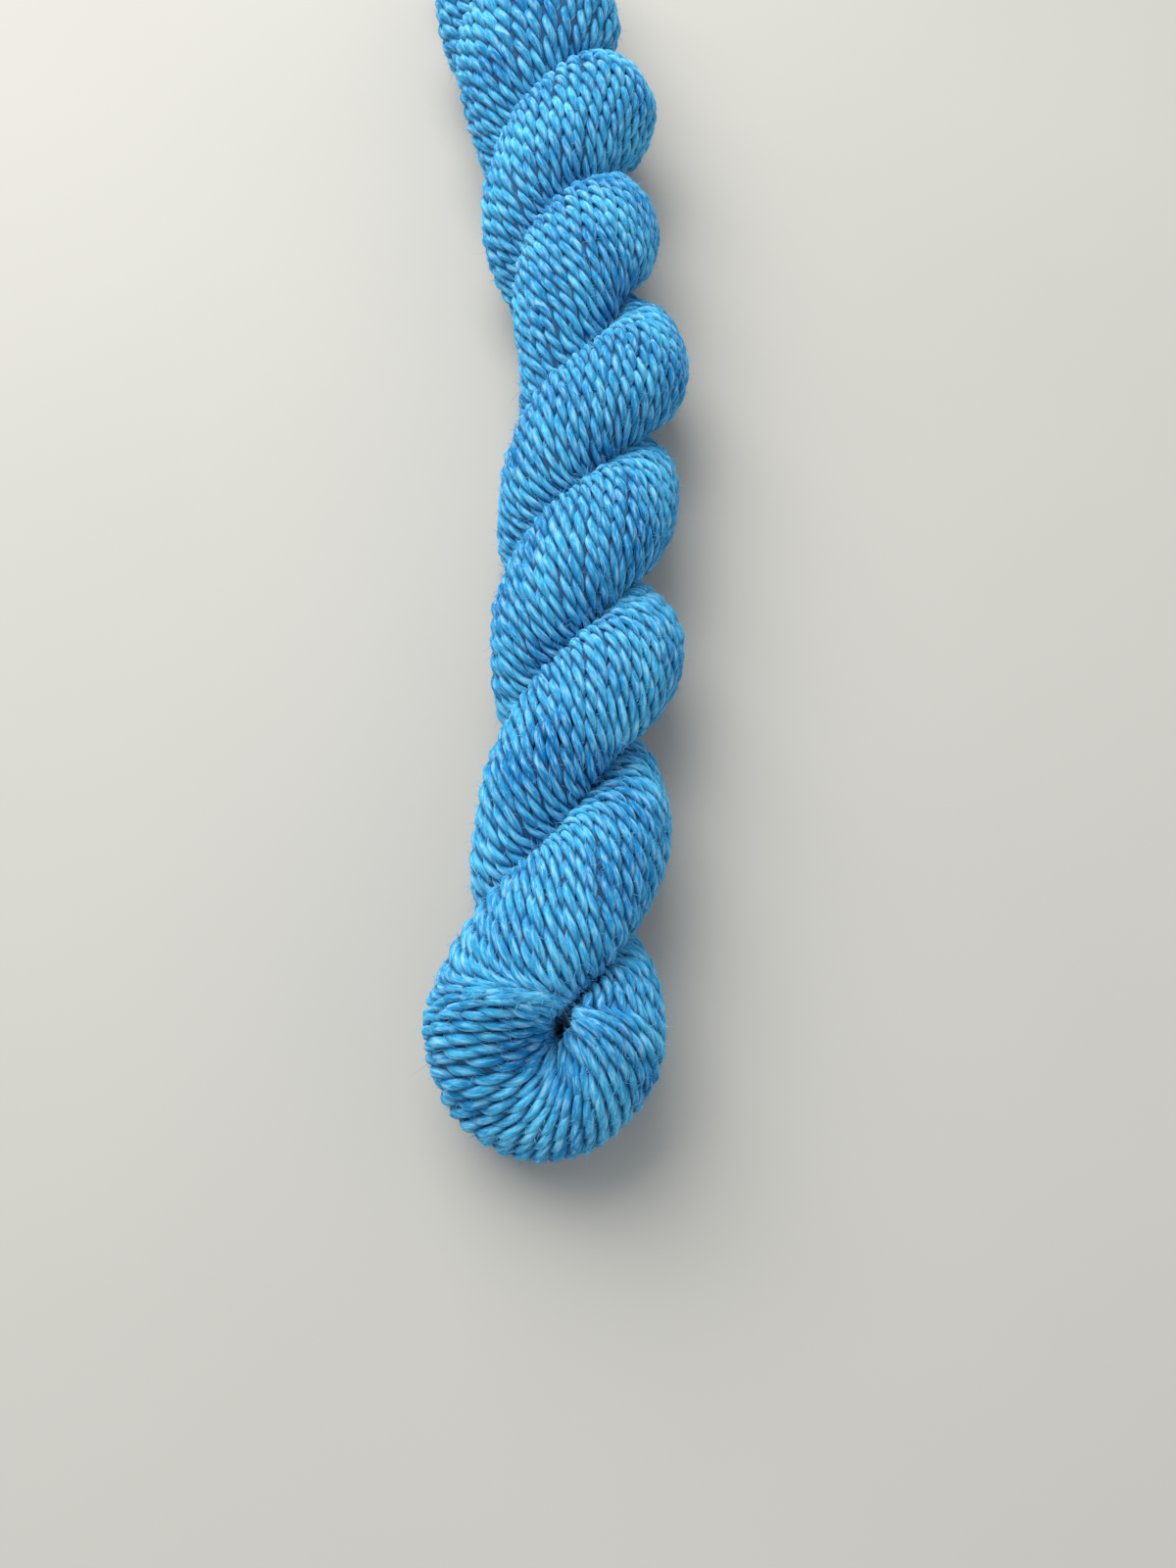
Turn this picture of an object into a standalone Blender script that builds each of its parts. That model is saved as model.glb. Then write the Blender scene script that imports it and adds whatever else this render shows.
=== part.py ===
"""A small skein of two-ply yarn, finished the way a hand dyer finishes one.

The hank of yarn is twisted until it kinks, folded in half so that its two legs twist round each
other into a thick two-strand rope, and one end is tucked into the other. It lies flat on a
surface with the fold towards -Y and the tucked end towards +Y. Metres, +Z up, origin under the
middle of the skein on the surface it rests on.
"""

import math
from typing import NamedTuple

import bmesh
import bpy
import numpy as np

MM = 0.001

# The rope: two legs round one axis.
LEG_OFFSET = 8.2 * MM  # from the rope's axis to the middle of a leg
LEG_HALF_DEEP = 7.7 * MM  # half of a leg, measured away from the rope's axis
LEG_HALF_WIDE = 9.8 * MM  # half of a leg across that, square to its own run
INNER_FULLNESS = 1.25  # a leg alone would bulge this much further inwards: the other stops it
AXIS_HEIGHT = 14.8 * MM  # the legs press 1.1 mm flat against the surface
SLUMP = 0.5  # a thicker part sags: its height grows by this power of its swell

# The fold: the hank turns back on itself.
FOLD_RADIUS = 7.7 * MM  # from the middle of the turn to the middle of the hank
FOLD_HALF_DEEP = 10.3 * MM
FOLD_HALF_TALL = 11.2 * MM
FOLD_HEIGHT = 11.2 * MM  # the middle of the hank at the outermost point of the turn
PIT_RADIUS = 1.6 * MM  # the hole in the middle of the turn

# The tucked end: one leg's end loop makes a collar, the other's comes through it as a knob.
LEGS_END = 125.4 * MM  # the legs' middles stop here, inside the collar and the knob
COLLAR_ALONG = 125.4 * MM
COLLAR_RADII = (13.5 * MM, 11.0 * MM)  # middle of the collar's bundle, sideways and upwards
COLLAR_BUNDLE = 6.0 * MM  # half as thick round as a leg, since each side holds half the turns
COLLAR_LEAN = math.radians(-18)
KNOB_LENGTH = 18.0 * MM  # past the collar
KNOB_HALF_WIDE = 11.0 * MM
KNOB_HALF_TALL = 8.5 * MM
KNOB_DROOP = math.radians(-10)

# How the solid is drawn.
RING_SPACING = 2.8 * MM
LEG_FACES = 18  # across the part of a leg that shows
PIT_FACES = 6  # down the wall of the hole in the fold
ANGLE_STEPS = 360  # how finely the angle at which two legs meet is looked for
BLOCK_DEPTH = 30.0 * MM  # the cutter under the surface
BLOCK_WIDTH = 200.0 * MM
BLOCK_LENGTH = 500.0 * MM

YARN_BLUE = (0.075, 0.32, 0.66, 1.0)
YARN_ROUGHNESS = 0.9


class Station(NamedTuple):
    """A place along the rope: the fold, a crossing of the legs, or where they lie side by side."""

    name: str
    half_turns: float  # of the rope, 0 where the first leg crosses over next to the fold
    along: float  # mm from the middle of the skein, towards the tucked end
    side: float  # mm to the right of it, how the rope's axis wanders
    swell: float  # thickness against the plain rope
    lopsided: float = 0.0  # how much thicker the first leg is than the plain one


STATIONS = (
    Station("fold", -0.5, -123.1, 5.9, 1.11, 0.16),
    Station("first crossing", 0.0, -108.1, 5.1, 1.02, 0.04),
    Station("after the first", 0.5, -91.9, 7.0, 0.98),
    Station("second crossing", 1.0, -75.6, 8.0, 0.96),
    Station("after the second", 1.5, -60.4, 9.4, 1.02),
    Station("third crossing", 2.0, -45.5, 8.6, 1.00),
    Station("after the third", 2.5, -30.6, 9.5, 1.00),
    Station("fourth crossing", 3.0, -15.2, 11.0, 1.04),
    Station("after the fourth", 3.5, 2.0, 12.3, 1.00),
    Station("fifth crossing", 4.0, 19.4, 8.3, 1.05),
    Station("after the fifth", 4.5, 35.0, 5.8, 1.09),
    Station("sixth crossing", 5.0, 50.4, 4.6, 1.09),
    Station("after the sixth", 5.5, 66.4, 3.8, 1.24),
    Station("seventh crossing", 6.0, 82.8, -0.8, 1.31),
    Station("after the seventh", 6.5, 99.5, -4.6, 1.20),
    Station("eighth crossing", 7.0, 116.4, -7.2, 1.12),
)


class Section(NamedTuple):
    """One section of the hank, or a column of each value for many of them."""

    centre: np.ndarray  # of the rope, or of the turn in the fold
    outward: np.ndarray  # from there through the middle of the hank
    across: np.ndarray
    reach: np.ndarray  # from the centre to the middle of the hank
    half_deep: np.ndarray  # outwards
    half_wide: np.ndarray  # square to that and to the hank's run
    lean: np.ndarray  # of the hank's run against the section, as an angle
    bend: np.ndarray  # how much the section curls round the centre, radians per metre
    inner: np.ndarray  # from the centre to where the hank ends inwards


def through(column, at):
    """A smooth curve through one column of the stations, read at distances along the rope."""
    known = np.array([station.along for station in STATIONS]) * MM
    values = np.array([getattr(station, column) for station in STATIONS])
    slopes = np.gradient(values, known)
    at = np.asarray(at, dtype=float)
    left = np.clip(np.searchsorted(known, at) - 1, 0, len(known) - 2)
    span = known[left + 1] - known[left]
    step = (at - known[left]) / span
    t = np.clip(step, 0.0, 1.0)
    inside = (
        (1 + 2 * t) * (1 - t) ** 2 * values[left]
        + t * (1 - t) ** 2 * span * slopes[left]
        + t**2 * (3 - 2 * t) * values[left + 1]
        + t**2 * (t - 1) * span * slopes[left + 1]
    )
    before = np.minimum(step, 0.0) * span * slopes[left]
    after = np.maximum(step - 1.0, 0.0) * span * slopes[left + 1]
    return inside + before + after


def rope_centre(along):
    """The middle of the rope at distances along it, before it sags."""
    along = np.asarray(along, dtype=float)
    height = AXIS_HEIGHT * through("swell", along)
    return np.stack([through("side", along) * MM, along, height], axis=-1)


def sag(points):
    """Lowers the thicker parts of the rope in proportion to their height."""
    swell = through("swell", np.clip(points[..., 1], STATIONS[0].along * MM, LEGS_END))
    lowered = np.array(points)
    lowered[..., 2] *= swell ** (SLUMP - 1)
    return lowered


def twist_rate(along):
    """Radians per metre by which the legs turn round each other."""
    ahead = through("half_turns", along + MM)
    behind = through("half_turns", along - MM)
    return math.pi * (ahead - behind) / (2 * MM)


def leg_directions(along, leg):
    """Outward from the rope's axis through the middle of leg 0 or leg 1, and across that."""
    angle = math.pi * (through("half_turns", along) + leg)
    level = np.zeros_like(angle)
    outward = np.stack([np.sin(angle), level, np.cos(angle)], axis=1)
    across = np.stack([np.cos(angle), level, -np.sin(angle)], axis=1)
    return outward, across if leg else -across


def leg_sections(leg, along):
    """Sections of leg 0 or leg 1, square to the rope."""
    swell = through("swell", along)
    outward, across = leg_directions(along, leg)
    reach = LEG_OFFSET * swell
    twist = twist_rate(along)
    lean = np.arctan(reach * twist)
    thicker = through("lopsided", along)
    share = 1 - thicker if leg else 1 + thicker
    return Section(
        rope_centre(along),
        outward,
        across,
        reach * share,
        LEG_HALF_DEEP * swell * share,
        LEG_HALF_WIDE * swell,
        lean,
        twist * np.sin(lean),
        np.zeros_like(swell),
    )


def fold_sections(start):
    """Upright sections of the turn, fanned round it between the first leg and the second."""
    count = round(math.pi * (FOLD_RADIUS + FOLD_HALF_DEEP) / RING_SPACING)
    turn = np.linspace(0.0, math.pi, count + 2)[1:-1]
    grown = np.sin(turn)
    rope_end = STATIONS[0]
    share = 1 + rope_end.lopsided * np.cos(turn)
    reach = LEG_OFFSET * rope_end.swell
    half_deep = LEG_HALF_DEEP * rope_end.swell
    # Both legs run downhill, towards and away from the turn, so it dips first and then rises.
    dip = FOLD_RADIUS * math.tan(start.lean) / 2
    height = start.centre[2] + (FOLD_HEIGHT - start.centre[2]) * grown**2
    height -= dip * np.sin(2 * turn)
    level = np.zeros_like(turn)
    return Section(
        np.stack([start.centre[0] + level, start.centre[1] + level, height], axis=1),
        np.stack([-np.cos(turn), -np.sin(turn), level], axis=1),
        np.stack([level, level, level - 1.0], axis=1),
        (reach + (FOLD_RADIUS - reach) * grown) * share,
        (half_deep + (FOLD_HALF_DEEP - half_deep) * grown) * share,
        start.half_wide + (FOLD_HALF_TALL - start.half_wide) * grown,
        start.lean * (1 - grown),
        start.bend * (1 - grown),
        PIT_RADIUS * grown,
    )


def surface_at(section, angle):
    """Distances outwards and sideways from the centre, at angles round each section."""
    fullness = np.where(np.cos(angle) < 0, INNER_FULLNESS, 1.0)
    deep = section.reach[:, None] + section.half_deep[:, None] * np.cos(angle) * fullness
    wide = section.half_wide[:, None] * np.sin(angle)
    curl = section.bend[:, None] * wide
    wide = wide * np.cos(section.lean)[:, None]
    outwards = deep * np.cos(curl) - wide * np.sin(curl)
    sideways = deep * np.sin(curl) + wide * np.cos(curl)
    return outwards, sideways


def half_outlines(section):
    """Points round the side of each section that shows, from one groove to the other."""
    angles = np.broadcast_to(
        np.linspace(0.0, math.pi, ANGLE_STEPS), (len(section.reach), ANGLE_STEPS)
    )
    outwards, _ = surface_at(section, angles)
    meets = np.argmax(outwards < section.inner[:, None], axis=1) * math.pi / (ANGLE_STEPS - 1)
    spread = np.linspace(-1.0, 1.0, LEG_FACES + 1)
    outwards, sideways = surface_at(section, meets[:, None] * spread)
    outwards[:, 0] = outwards[:, -1] = section.inner
    return sag(
        section.centre[:, None]
        + outwards[..., None] * section.outward[:, None]
        + sideways[..., None] * section.across[:, None]
    )


def add_faces(shape, rings):
    """Smooth faces between each ring of vertices and the next, left open where they are."""
    for ring, following in zip(rings, rings[1:]):
        for i in range(len(ring) - 1):
            face = shape.faces.new((ring[i], ring[i + 1], following[i + 1], following[i]))
            face.smooth = True


def make_rope(collection):
    """The whole twisted hank as one skin: both legs, and the fold that joins them."""
    fold_along = STATIONS[0].along * MM
    count = round((LEGS_END - fold_along) / RING_SPACING)
    along = np.linspace(fold_along, LEGS_END, count + 1)
    second_leg = leg_sections(1, along)
    first_outlines = half_outlines(leg_sections(0, along))
    second_outlines = half_outlines(second_leg)
    turn = fold_sections(Section(*(column[0] for column in second_leg)))
    shape = bmesh.new()

    second = [[shape.verts.new(point) for point in ring] for ring in second_outlines]
    first = [
        [ring[0], *(shape.verts.new(point) for point in points[1:-1]), ring[-1]]
        for ring, points in zip(second, first_outlines)
    ]
    add_faces(shape, second)
    add_faces(shape, first)
    shape.faces.new(second[-1] + first[-1][-2:0:-1])

    # The hole in the fold narrows to a seam, where the two legs start to press on each other.
    depths = np.linspace(1.0, 0.0, PIT_FACES + 1)[1:-1, None]
    seam = [
        shape.verts.new(point)
        for point in depths * second_outlines[0, -1] + (1 - depths) * second_outlines[0, 0]
    ]
    rings = [first[0] + seam + first[0][:1]]
    for points in half_outlines(turn):
        wall = depths * points[-1] + (1 - depths) * points[0]
        ring = [shape.verts.new(point) for point in (*points, *wall)]
        rings.append(ring + ring[:1])
    rings.append(second[0] + seam + second[0][:1])
    add_faces(shape, rings)

    bmesh.ops.recalc_face_normals(shape, faces=shape.faces)
    # Each four-sided face is skewed by the twist: its short diagonal keeps the leg round.
    bmesh.ops.triangulate(shape, faces=shape.faces, quad_method="SHORT_EDGE")
    mesh = bpy.data.meshes.new("skein")
    shape.to_mesh(mesh)
    shape.free()
    skein = bpy.data.objects.new("skein", mesh)
    collection.objects.link(skein)
    return skein


def as_helper(obj, name, collection):
    """Names an object, moves it to the cutters' collection and hides it from the render."""
    for owner in list(obj.users_collection):
        owner.objects.unlink(obj)
    collection.objects.link(obj)
    obj.name = name
    obj.hide_render = True
    obj.display_type = "WIRE"
    return obj


def tuck_place():
    """The middle of the rope where one end is tucked into the other."""
    return sag(rope_centre(COLLAR_ALONG))


def make_collar(collection):
    """The first leg's end loop, opened round the second leg's neck.

    A plain ring 2 round and 1 thick is stood upright and reshaped to the collar's real size.
    """
    bpy.ops.mesh.primitive_torus_add(
        major_segments=36,
        minor_segments=14,
        major_radius=2.0,
        minor_radius=1.0,
        location=tuck_place(),
        rotation=(0.0, 0.0, COLLAR_LEAN),
    )
    collar = bpy.context.object
    for vert in collar.data.vertices:
        x, y, z = vert.co
        around = math.atan2(y, x)
        bundle = COLLAR_BUNDLE * (math.hypot(x, y) - 2.0)
        vert.co = (
            (COLLAR_RADII[0] + bundle) * math.cos(around),
            COLLAR_BUNDLE * z,
            (COLLAR_RADII[1] + bundle) * math.sin(around),
        )
    bpy.ops.object.shade_smooth()
    return as_helper(collar, "collar", collection)


def make_knob(collection):
    """The second leg's end loop, which comes through the collar and ends round."""
    bpy.ops.mesh.primitive_uv_sphere_add(
        segments=24,
        ring_count=16,
        radius=1.0,
        location=tuck_place(),
        rotation=(KNOB_DROOP, 0.0, COLLAR_LEAN),
        scale=(KNOB_HALF_WIDE, KNOB_LENGTH, KNOB_HALF_TALL),
    )
    bpy.ops.object.shade_smooth()
    return as_helper(bpy.context.object, "knob", collection)


def make_surface_block(collection):
    """What lies under the surface, so that the yarn is flat where it rests."""
    bpy.ops.mesh.primitive_cube_add(
        size=1.0,
        location=(0.0, 0.0, -BLOCK_DEPTH / 2),
        scale=(BLOCK_WIDTH, BLOCK_LENGTH, BLOCK_DEPTH),
    )
    return as_helper(bpy.context.object, "under_surface", collection)


def add_boolean(obj, other, operation):
    """Joins or cuts with another mesh, keeping the exact solver."""
    modifier = obj.modifiers.new(f"{operation.lower()} {other.name}", "BOOLEAN")
    modifier.operation = operation
    modifier.object = other


def dress(obj):
    """Plain soft yarn colour on the solid."""
    material = bpy.data.materials.new("yarn")
    material.use_nodes = True
    surface = material.node_tree.nodes["Principled BSDF"]
    surface.inputs["Base Color"].default_value = YARN_BLUE
    surface.inputs["Roughness"].default_value = YARN_ROUGHNESS
    surface.inputs["Metallic"].default_value = 0.0
    obj.data.materials.append(material)


def main():
    """Clears the scene and builds the skein."""
    for obj in list(bpy.data.objects):
        bpy.data.objects.remove(obj)
    parts = bpy.data.collections.new("skein_of_yarn")
    cutters = bpy.data.collections.new("cutters")
    for collection in (parts, cutters):
        bpy.context.scene.collection.children.link(collection)
    skein = make_rope(parts)
    add_boolean(skein, make_collar(cutters), "UNION")
    add_boolean(skein, make_knob(cutters), "UNION")
    add_boolean(skein, make_surface_block(cutters), "DIFFERENCE")
    dress(skein)


if __name__ == "__main__":
    main()
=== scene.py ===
"""Looks of a small twisted skein of two-ply wool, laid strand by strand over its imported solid.

The hank's own measures are repeated here in millimetres, so that each strand of yarn follows the
legs, the fold and the tucked end of the solid that it stands for. Every strand is a real form: two
plies twisted together, pressed flat on the surface and on its neighbours.
"""

from __future__ import annotations

import logging
import math
from dataclasses import dataclass, field, replace
from enum import Enum

import bpy
import numpy as np
from bpy.types import ID, Material, Node, NodeTree, Object
from mathutils import Euler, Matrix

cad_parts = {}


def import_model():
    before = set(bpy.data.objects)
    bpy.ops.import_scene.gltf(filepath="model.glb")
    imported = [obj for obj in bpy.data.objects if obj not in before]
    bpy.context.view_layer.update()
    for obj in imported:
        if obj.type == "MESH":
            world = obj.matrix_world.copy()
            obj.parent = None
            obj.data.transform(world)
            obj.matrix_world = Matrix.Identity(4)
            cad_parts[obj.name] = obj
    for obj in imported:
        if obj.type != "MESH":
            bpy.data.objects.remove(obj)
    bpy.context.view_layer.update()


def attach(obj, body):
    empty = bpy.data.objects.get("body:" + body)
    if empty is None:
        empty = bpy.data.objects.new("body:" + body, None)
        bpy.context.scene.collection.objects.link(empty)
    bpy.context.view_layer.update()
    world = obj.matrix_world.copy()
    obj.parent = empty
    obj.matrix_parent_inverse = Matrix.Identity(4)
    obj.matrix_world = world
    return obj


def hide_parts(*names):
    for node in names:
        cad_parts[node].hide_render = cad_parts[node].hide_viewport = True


Array = np.ndarray
Pair = tuple[float, float]
Triple = tuple[float, float, float]

MM = 0.001
FULL_TURN = 2.0 * math.pi
STRAND_SEED = 7
COLLAR_SEED = 47
KNOB_SEED = 67
FIBRE_SEEDS = (101, 102)
NODE = "skein"
BODY = "root"

log = logging.getLogger("skein")


# Measures of the hank


@dataclass(frozen=True)
class Station:
    """A place along the rope: the fold, a crossing of the legs, or where they lie side by side."""

    half_turns: float  # of the rope, 0 where the first leg crosses over next to the fold
    along: float  # mm from the middle of the skein, towards the tucked end
    side: float  # mm to the right of it
    swell: float  # thickness against the plain rope
    lopsided: float = 0.0  # how much thicker the first leg is than the plain one


STATIONS: tuple[Station, ...] = (
    Station(-0.5, -123.1, 5.9, 1.11, 0.16),
    Station(0.0, -108.1, 5.1, 1.02, 0.04),
    Station(0.5, -91.9, 7.0, 0.98),
    Station(1.0, -75.6, 8.0, 0.96),
    Station(1.5, -60.4, 9.4, 1.02),
    Station(2.0, -45.5, 8.6, 1.00),
    Station(2.5, -30.6, 9.5, 1.00),
    Station(3.0, -15.2, 11.0, 1.04),
    Station(3.5, 2.0, 12.3, 1.00),
    Station(4.0, 19.4, 8.3, 1.05),
    Station(4.5, 35.0, 5.8, 1.09),
    Station(5.0, 50.4, 4.6, 1.09),
    Station(5.5, 66.4, 3.8, 1.24),
    Station(6.0, 82.8, -0.8, 1.31),
    Station(6.5, 99.5, -4.6, 1.20),
    Station(7.0, 116.4, -7.2, 1.12),
)


@dataclass(frozen=True)
class Lay:
    """How fast the yarn winds round its leg, or round the fold, at a place on the hank's path."""

    path: float  # mm, below 0 on the first leg and above 24 on the second
    rate: float  # radians round the leg for each metre of its run


LAY: tuple[Lay, ...] = (
    Lay(-250.0, 110.0),
    Lay(-206.0, 80.0),
    Lay(-196.0, 125.0),
    Lay(-186.0, 150.0),
    Lay(-150.0, 165.0),
    Lay(-134.0, 138.0),
    Lay(-110.0, 130.0),
    Lay(-88.0, 205.0),
    Lay(-78.0, 165.0),
    Lay(-66.0, 195.0),
    Lay(-50.0, 140.0),
    Lay(-36.0, 145.0),
    Lay(-26.0, 220.0),
    Lay(-20.0, 215.0),
    Lay(-12.0, 185.0),
    Lay(-4.0, 175.0),
    Lay(2.0, 185.0),
    Lay(6.0, 180.0),
    Lay(16.0, 160.0),
    Lay(22.0, 180.0),
    Lay(28.0, 135.0),
    Lay(48.0, 115.0),
    Lay(58.0, 180.0),
    Lay(66.0, 180.0),
    Lay(76.0, 230.0),
    Lay(84.0, 205.0),
    Lay(106.0, 160.0),
    Lay(118.0, 195.0),
    Lay(130.0, 180.0),
    Lay(142.0, 150.0),
    Lay(166.0, 120.0),
    Lay(184.0, 138.0),
    Lay(198.0, 150.0),
    Lay(210.0, 120.0),
    Lay(250.0, 100.0),
)


@dataclass(frozen=True)
class RopeMeasure:
    """The rope of two legs: sizes in metres, and how it wanders and swells."""

    leg_offset: float = 8.2 * MM
    leg_half_deep: float = 7.7 * MM
    leg_half_wide: float = 9.8 * MM
    inner_fullness: float = 1.25  # of a leg's inner half, where it presses on the other leg
    axis_height: float = 14.8 * MM
    slump: float = 0.5  # the power of the swell that the height follows once the rope has sagged
    legs_end: float = 125.4 * MM  # the middle of the tucked end
    stations: tuple[Station, ...] = STATIONS

    @property
    def fold_along(self) -> float:
        """Where the legs turn into the fold."""
        return self.stations[0].along * MM

    def through(self, column: str, at: Array) -> Array:
        """A smooth curve through one column of the stations.

        Args:
            column: name of the column.
            at: distances along the rope, in metres.

        Returns:
            The column's value at each distance.
        """
        known = np.array([station.along for station in self.stations]) * MM
        values = np.array([getattr(station, column) for station in self.stations])
        slopes = np.gradient(values, known)
        at = np.asarray(at, dtype=float)
        left = np.clip(np.searchsorted(known, at) - 1, 0, len(known) - 2)
        span = known[left + 1] - known[left]
        step = (at - known[left]) / span
        t = np.clip(step, 0.0, 1.0)
        inside = (
            (1 + 2 * t) * (1 - t) ** 2 * values[left]
            + t * (1 - t) ** 2 * span * slopes[left]
            + t**2 * (3 - 2 * t) * values[left + 1]
            + t**2 * (t - 1) * span * slopes[left + 1]
        )
        before = np.minimum(step, 0.0) * span * slopes[left]
        after = np.maximum(step - 1.0, 0.0) * span * slopes[left + 1]
        return inside + before + after

    def twist_rate(self, along: Array) -> Array:
        """How fast the legs turn round each other, in radians per metre."""
        turned = self.through("half_turns", along + MM) - self.through("half_turns", along - MM)
        return math.pi * turned / (2 * MM)

    def centre(self, along: Array) -> Array:
        """The middle of the rope before it sags, one point for each distance along it."""
        height = self.axis_height * self.through("swell", along)
        return xyz(self.through("side", along) * MM, along, height)

    def sag(self, points: Array) -> Array:
        """Lowers the thicker parts of the rope in proportion to their height.

        Args:
            points: places on or in the rope.

        Returns:
            The lowered places.
        """
        along = np.clip(points[..., 1], self.fold_along, self.legs_end)
        lowered = np.array(points)
        lowered[..., 2] *= self.through("swell", along) ** (self.slump - 1)
        return lowered

    def heart(self, along: float) -> Array:
        """The middle of the rope after it has sagged."""
        return self.sag(self.centre(np.array(along)))


@dataclass(frozen=True)
class FoldMeasure:
    """The turn of the hank at the fold, in metres."""

    radius: float = 7.7 * MM
    half_deep: float = 10.3 * MM
    half_tall: float = 11.2 * MM
    height: float = 11.2 * MM
    pit_radius: float = 2.2 * MM
    pit_shares: Pair = (0.7, 0.3)  # of it, all round the fold and added at its middle
    pit_mouth: float = 9.0 * MM  # how far up the legs the pit holds them apart


def soft_floor(value: Array, floor: Array | float, softness: float) -> Array:
    """Keeps a value above a floor, with a bend that starts about a softness away from it."""
    return floor + softness * np.logaddexp(0.0, (value - floor) / softness)


def xyz(right: Array | float, along: Array | float, up: Array | float) -> Array:
    """Points from their coordinates."""
    return np.stack(np.broadcast_arrays(right, along, up), axis=-1)


def eased(share: Array) -> Array:
    """A share from 0 to 1, made to start and end slowly."""
    return share**2 * (3 - 2 * share)


@dataclass
class Sections:
    """Sections of the hank at places on its path, one for each, in metres and radians."""

    centre: Array
    outward: Array
    across: Array
    reach: Array  # from the middle of the rope to the middle of the section
    half_deep: Array
    half_wide: Array
    lean: Array  # of the leg's run against the rope's
    bend: Array  # of the section round the rope, for each metre sideways
    inner: Array  # the least distance from the middle of the rope

    def edge(self, angle: Array, inset: Array | float, fullness: float) -> tuple[Array, Array]:
        """The edge of each section.

        Args:
            angle: round the section, 0 outwards, with the sections on its last axis.
            inset: how far under the skin.
            fullness: how much fuller the section is on its inner side.

        Returns:
            Distances outwards and sideways from the middle of the rope.
        """
        inner_side = np.where(np.cos(angle) < 0, fullness, 1.0)
        deep = self.reach + (self.half_deep - inset) * np.cos(angle) * inner_side
        wide = (self.half_wide - inset) * np.sin(angle)
        curl = self.bend * wide
        wide = wide * np.cos(self.lean)
        outwards = deep * np.cos(curl) - wide * np.sin(curl)
        return outwards, deep * np.sin(curl) + wide * np.cos(curl)

    def point(self, outwards: Array, sideways: Array) -> Array:
        """The points at distances outwards and sideways in the sections."""
        out = self.centre + outwards[..., None] * self.outward
        return out + sideways[..., None] * self.across


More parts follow.
